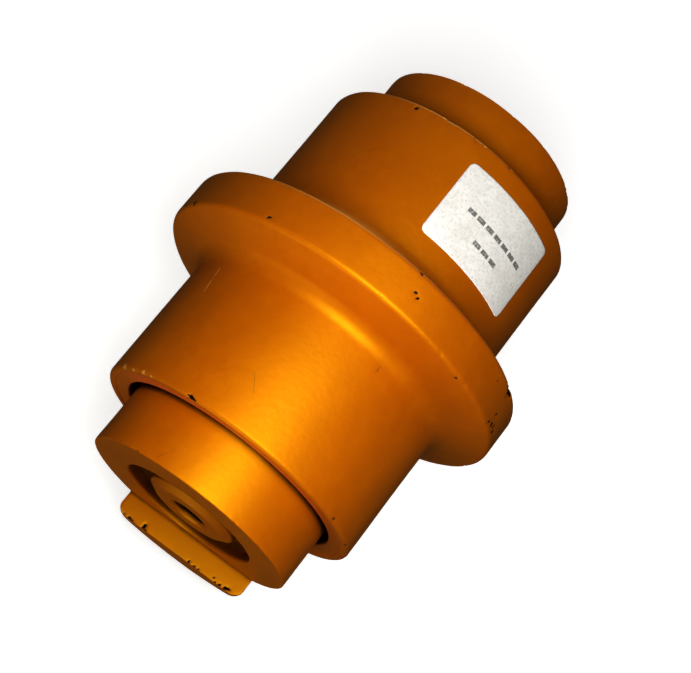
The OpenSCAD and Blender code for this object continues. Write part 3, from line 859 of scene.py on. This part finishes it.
# ------------------------------------------------------------------ label
def build_label():
    """Paper label wrapped on the tread: thin, with rounded corners, a slight wave and pressed-down edges."""
    nu, nv = 120, 84
    r0 = TREAD_R + 0.02
    u = np.linspace(-1, 1, nu)
    v = np.linspace(-1, 1, nv)
    half_w, half_h = LABEL_W / 2, LABEL_H / 2

    def round_square(a, b):
        """Pulls a grid point of the full rectangle inside the rounded corners."""
        x, y = a * half_w, b * half_h
        cx, cy = half_w - LABEL_CORNER, half_h - LABEL_CORNER
        dx, dy = max(abs(x) - cx, 0), max(abs(y) - cy, 0)
        if dx > 0 and dy > 0:
            m = max(dx, dy)
            d = math.hypot(dx, dy)
            dx, dy = dx * m / d, dy * m / d
            x, y = math.copysign(cx + dx, x), math.copysign(cy + dy, y)
        return x, y

    flat = np.array([round_square(a, b) for b in v for a in u])
    grid = grid_faces(nv, nu, close_cols=False)
    n = len(flat)
    edge_gap = np.minimum(half_w - np.abs(flat[:, 0]), half_h - np.abs(flat[:, 1]))

    def wrap(radius):
        ang = LABEL_TURN + flat[:, 0] / TREAD_R
        return np.stack([radius * np.sin(ang), LABEL_Y + flat[:, 1], radius * np.cos(ang)], -1)

    rise = 0.02 * waves(np.column_stack([flat, np.zeros(n)]), 71, 13)
    top = wrap(r0 + LABEL_T - 0.06 + np.clip(rise, -0.04, 0.04) - 0.06 * smooth01(1 - edge_gap / 0.35))
    bottom = wrap(np.full(n, r0 - 0.08))
    border = (list(range(nu)) + [nu - 1 + nu * j for j in range(1, nv)]
              + [nu * nv - 1 - i for i in range(1, nu)] + [nu * (nv - 1 - j) for j in range(1, nv - 1)])
    rim = [[i, j, j + n, i + n] for i, j in zip(border, border[1:] + border[:1])]
    faces = np.concatenate([grid, grid[:, ::-1] + n, np.array(rim)])
    mesh = make_mesh("paper_label", np.concatenate([top, bottom]), faces)
    attribute(mesh, "label_u", np.concatenate([flat[:, 0]] * 2))
    attribute(mesh, "label_v", np.concatenate([flat[:, 1]] * 2))
    face_outward(mesh)
    obj = add_object("paper_label", mesh)
    obj.data.materials.append(paper("label_stock"))
    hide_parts("label")
    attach(obj, "roller")
    return obj


# ------------------------------------------------------------------ everything else keeps its CAD mesh
def dress_nodes():
    looks = {
        "bronze": steel("bush_bronze_turned", (0.62, 0.36, 0.14), 0.28),
        "iron": steel("seal_iron_lapped", (0.42, 0.42, 0.43), 0.22, (8.0, 1.0, 8.0)),
        "pin": paint("pin_end_paint"),
        "plug": steel("plug_steel_turned", (0.36, 0.36, 0.37), 0.35),
        "rubber": rubber("seal_rubber_matt"),
    }
    for name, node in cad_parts.items():
        if node.hide_render:
            continue
        if "bushing" in name:
            look = looks["bronze"]
        elif "seal_ring" in name:
            look = looks["iron"]
        elif "pin" in name:
            look = looks["pin"]
        elif "plug" in name:
            look = looks["plug"]
        else:
            look = looks["rubber"]
        node.data.materials.clear()
        node.data.materials.append(look)


# ------------------------------------------------------------------ stage, lights, camera
FLOOR_GAP = 0.4          # mm under the part
FLOOR_R, BEND_R = 1600, 1400
WALL_TOP = (2200, 3600)  # mm above the floor
FLOOR_GLOW = 0.72
KEY_PLACE, KEY_AIM = (0.075, -0.094, 0.272), (0.0, -0.02, 0.0)
KEY_SIZE, KEY_POWER = 0.18, 1.02
FRONT_PLACE, FRONT_POWER, FRONT_COLOR = (-0.15, -0.95, 0.05), 2.4, (1.0, 0.97, 0.70)
BACK_PLACE, BACK_POWER = (-0.25, 0.95, 0.03), 2.6
FILL_SIZE = 0.6
AMBIENT, AMBIENT_COLOR = 0.058, (1.0, 0.98, 0.86, 1.0)
GAMMA = 0.86
# the photograph's viewing angle in degrees, the lens, and the camera's place to the right, up and back in mm
CAM_TURN, CAM_RISE, CAM_ROLL = 27.89, 68.78, 8.87
CAM_SENSOR, CAM_LENS = 36, 84.8
CAM_RIGHT, CAM_UP, CAM_BACK = 2.47, -4.51, 630.6


def build_stage():
    """Pale floor that curves up into a wall all round, far from the object."""
    z0 = cad_lo.z / MM - FLOOR_GAP
    prof = [(0.0, z0), (300.0, z0), (800.0, z0), (FLOOR_R, z0)]
    for k in range(1, 13):
        a = math.radians(90 * k / 12)
        prof.append((FLOOR_R + BEND_R * math.sin(a), z0 + BEND_R * (1 - math.cos(a))))
    prof += [(FLOOR_R + BEND_R, z0 + height) for height in WALL_TOP]
    cols = 96
    t = np.arange(cols) * 2 * math.pi / cols
    pts = np.concatenate([np.stack([r * np.cos(t), r * np.sin(t), np.full(cols, z)], -1) for r, z in prof])
    mesh = make_mesh("studio_floor", pts, grid_faces(len(prof), cols))
    weld(mesh)
    bm = bmesh.new()
    bm.from_mesh(mesh)
    bmesh.ops.reverse_faces(bm, faces=[f for f in bm.faces if f.normal.z < -0.01])
    bm.to_mesh(mesh)
    bm.free()
    obj = add_object("studio_floor", mesh)
    n = Nodes("studio_paper")
    soft = n.noise(9, 3, 0.5)
    color = n.mix(soft, (0.86, 0.86, 0.855), (0.90, 0.90, 0.895))
    n.bsdf.inputs["Emission Color"].default_value = (1.0, 1.0, 1.0, 1.0)
    n.bsdf.inputs["Emission Strength"].default_value = FLOOR_GLOW
    obj.data.materials.append(n.finish(color, 0.9, n.bump(n.noise(400, 2), 0.0001, 0.2), spec=0.2))
    obj.visible_diffuse = False
    obj.visible_glossy = False
    obj.visible_shadow = False


def area_light(name, place, target, size, power, color=(1, 1, 1)):
    data = bpy.data.lights.new(name, "AREA")
    data.shape = "DISK"
    data.size = size
    data.energy = power
    data.color = color
    obj = bpy.data.objects.new(name, data)
    bpy.context.scene.collection.objects.link(obj)
    obj.location = place
    obj.rotation_mode = "QUATERNION"
    obj.rotation_quaternion = (Vector(target) - Vector(place)).to_track_quat("-Z", "Y")
    obj.visible_camera = False
    return obj


def build_lights():
    area_light("key", KEY_PLACE, KEY_AIM, KEY_SIZE, KEY_POWER)
    area_light("fill_front", FRONT_PLACE, (0.0, 0.0, 0.0), FILL_SIZE, FRONT_POWER, FRONT_COLOR)
    area_light("fill_back", BACK_PLACE, (0.0, 0.0, 0.0), FILL_SIZE, BACK_POWER)
    world = bpy.data.worlds.new("studio")
    world.use_nodes = True
    background = world.node_tree.nodes["Background"]
    background.inputs[0].default_value = AMBIENT_COLOR
    background.inputs[1].default_value = AMBIENT
    bpy.context.scene.world = world


def build_camera():
    """The photograph's viewing angle: from above the near end, rolled a little."""
    turn, rise, roll = math.radians(CAM_TURN), math.radians(CAM_RISE), math.radians(CAM_ROLL)
    back = Vector((math.sin(turn) * math.cos(rise), -math.cos(turn) * math.cos(rise), math.sin(rise)))
    right = Vector((math.cos(turn), math.sin(turn), 0))
    up = back.cross(right)
    right, up = right * math.cos(roll) + up * math.sin(roll), -right * math.sin(roll) + up * math.cos(roll)
    data = bpy.data.cameras.new("camera")
    data.sensor_width = CAM_SENSOR
    data.lens = CAM_LENS
    data.clip_start = 0.05
    data.clip_end = 50
    obj = bpy.data.objects.new("camera", data)
    bpy.context.scene.collection.objects.link(obj)
    place = (right * CAM_RIGHT + up * CAM_UP + back * CAM_BACK) * MM
    obj.matrix_world = Matrix(((right.x, up.x, back.x, place.x), (right.y, up.y, back.y, place.y),
                               (right.z, up.z, back.z, place.z), (0, 0, 0, 1)))
    bpy.context.scene.camera = obj


build_camera()
build_lights()
build_stage()
build_shell()
build_collar("near")
build_collar("far")
build_shaft()
build_label()
dress_nodes()
bpy.context.scene.view_settings.view_transform = "Standard"
bpy.context.scene.view_settings.gamma = GAMMA
